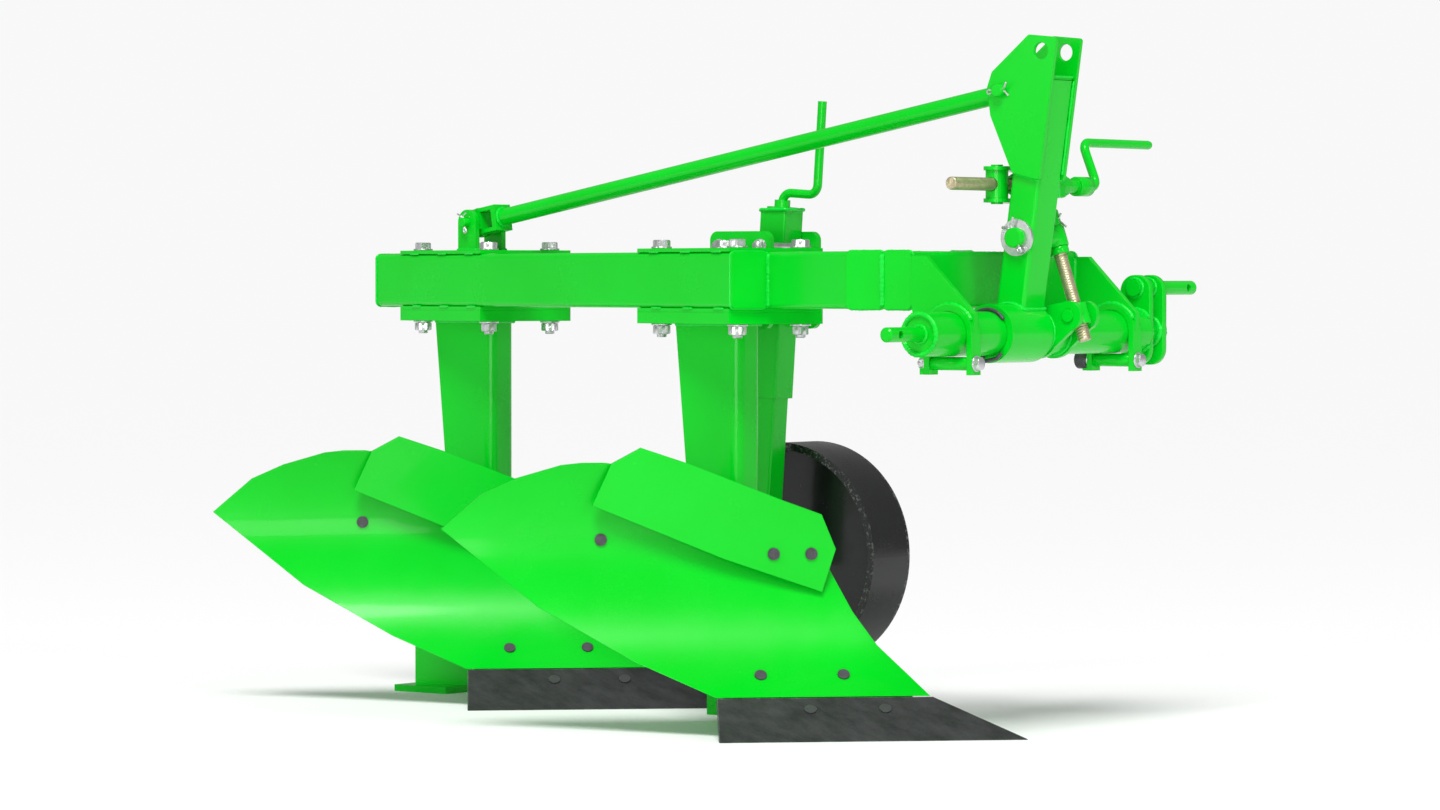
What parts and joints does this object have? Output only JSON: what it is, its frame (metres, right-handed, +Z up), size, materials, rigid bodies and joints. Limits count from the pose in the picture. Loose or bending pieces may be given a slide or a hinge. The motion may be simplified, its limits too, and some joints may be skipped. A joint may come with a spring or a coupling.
{
  "type": "mounted plough",
  "caption": "Mounted mouldboard plough: box-tube frame, bolted legs with share, mouldboard and trash board, tilting headstock, sideways shift and cranked land wheel.",
  "frame": {"origin": "on the ground, in the middle of the plough's footprint", "axes": "+X is the direction of travel, +Y is the land side, +Z is up"},
  "size_m": [1.541, 0.9062, 1.0538],
  "materials": {
    "green_paint": "gloss",
    "black_paint": "gloss",
    "dark_steel": "satin",
    "dark_bolts": "satin",
    "zinc": "satin",
    "yellow_zinc": "satin"
  },
  "bodies": {
    "frame": {"main_beam": "green_paint", "link_beam": "green_paint", "cross_member": "green_paint", "head_member": "green_paint", "wheel_beam": "green_paint", "end_caps": "green_paint", "front_top_plate": "green_paint", "front_bottom_plate": "green_paint", "front_flange_bolts": "zinc", "front_leg": "green_paint", "front_frog": "green_paint", "front_share": "dark_steel", "front_mouldboard": "green_paint", "front_landside": "green_paint", "front_trash_board": "green_paint", "front_plough_bolts": "dark_bolts", "rear_top_plate": "green_paint", "rear_bottom_plate": "green_paint", "rear_flange_bolts": "zinc", "rear_leg": "green_paint", "rear_frog": "green_paint", "rear_share": "dark_steel", "rear_mouldboard": "green_paint", "rear_landside": "green_paint", "rear_trash_board": "green_paint", "rear_plough_bolts": "dark_bolts", "near_gusset": "green_paint", "far_gusset": "green_paint", "near_keeper": "zinc", "far_keeper": "zinc", "shift_clevis": "green_paint", "shift_nut": "green_paint", "stay_bracket": "green_paint", "stay_cross": "green_paint", "column_sleeve": "green_paint", "near_clamp_plate": "green_paint", "far_clamp_plate": "green_paint", "clamp_bolts": "zinc"},
    "headstock": {"mast_tube": "green_paint", "mast_sleeve": "green_paint", "near_cheek": "green_paint", "far_cheek": "green_paint", "stay_pin": "green_paint", "shift_bearing": "green_paint"},
    "shaft": {"cross_shaft": "green_paint", "crank_arms": "green_paint", "far_hitch_pin": "green_paint", "retaining_ring": "dark_bolts", "near_screw_ear": "green_paint", "far_screw_ear": "green_paint"},
    "trunnion": {"mast_pin": "green_paint", "mast_washer": "zinc"},
    "levelling_screw": {"tilt_screw": "yellow_zinc"},
    "levelling_nut": {"tilt_nut": "green_paint"},
    "side_screw": {"shift_screw": "green_paint"},
    "stay": {"stay_fork": "green_paint", "stay_tube": "green_paint"},
    "wheel_column": {"column": "green_paint"},
    "land_wheel": {"wheel": "black_paint"},
    "depth_crank": {"depth_screw": "green_paint"}
  },
  "joints": [
    {"name": "side_shift", "type": "slide", "parent": "frame", "child": "headstock", "axis": [0, 1, 0], "range_m": [-0.02, 0.02]},
    {"name": "side_screw_turn", "type": "hinge", "parent": "headstock", "child": "side_screw", "pos_m": [0.64918, -0.01194, 0.833], "axis": [0, 1, 0], "range_deg": [-1810, 1810]},
    {"name": "stay_yaw", "type": "hinge", "parent": "frame", "child": "stay", "pos_m": [-0.47975, 0.11351, 0.785], "axis": [-0.158, 0.02, 0.9872], "range_deg": [-1.1, 1.1]},
    {"name": "levelling", "type": "hinge", "parent": "headstock", "child": "shaft", "pos_m": [0.68218, -0.01194, 0.611], "axis": [0, 1, 0], "range_deg": [-8, 8]},
    {"name": "trunnion_swing", "type": "hinge", "parent": "headstock", "child": "trunnion", "pos_m": [0.6989, -0.03194, 0.753], "axis": [0, 1, 0], "range_deg": [-1, 1]},
    {"name": "levelling_screw_turn", "type": "hinge", "parent": "trunnion", "child": "levelling_screw", "pos_m": [0.6989, 0.03956, 0.753], "axis": [0.3281, 0, -0.9447], "range_deg": [-820, 820]},
    {"name": "levelling_nut_swing", "type": "hinge", "parent": "shaft", "child": "levelling_nut", "pos_m": [0.73918, 0.03956, 0.637], "axis": [0, 1, 0], "range_deg": [-9, 9]},
    {"name": "depth_slide", "type": "slide", "parent": "frame", "child": "wheel_column", "axis": [0.0698, 0, 0.9976], "range_m": [-0.05, 0.08]},
    {"name": "wheel_spin", "type": "hinge", "parent": "wheel_column", "child": "land_wheel", "pos_m": [0.07018, 0.25106, 0.25], "axis": [0, 1, 0], "continuous": true},
    {"name": "depth_screw_turn", "type": "hinge", "parent": "frame", "child": "depth_crank", "pos_m": [0.10829, 0.14906, 0.795], "axis": [0.0698, 0, 0.9976], "range_deg": [-7300, 7300]}
  ],
  "couplings": [
    {"joint": "side_screw_turn", "follows": "side_shift", "rad_per_m": 1570.8},
    {"joint": "stay_yaw", "follows": "side_shift", "rad_per_m": 0.85851},
    {"joint": "trunnion_swing", "follows": "levelling", "ratio": -0.047735},
    {"joint": "levelling_screw_turn", "follows": "levelling", "ratio": -97.978},
    {"joint": "levelling_nut_swing", "follows": "levelling", "ratio": -1.0477},
    {"joint": "depth_screw_turn", "follows": "depth_slide", "rad_per_m": 1570.8}
  ]
}
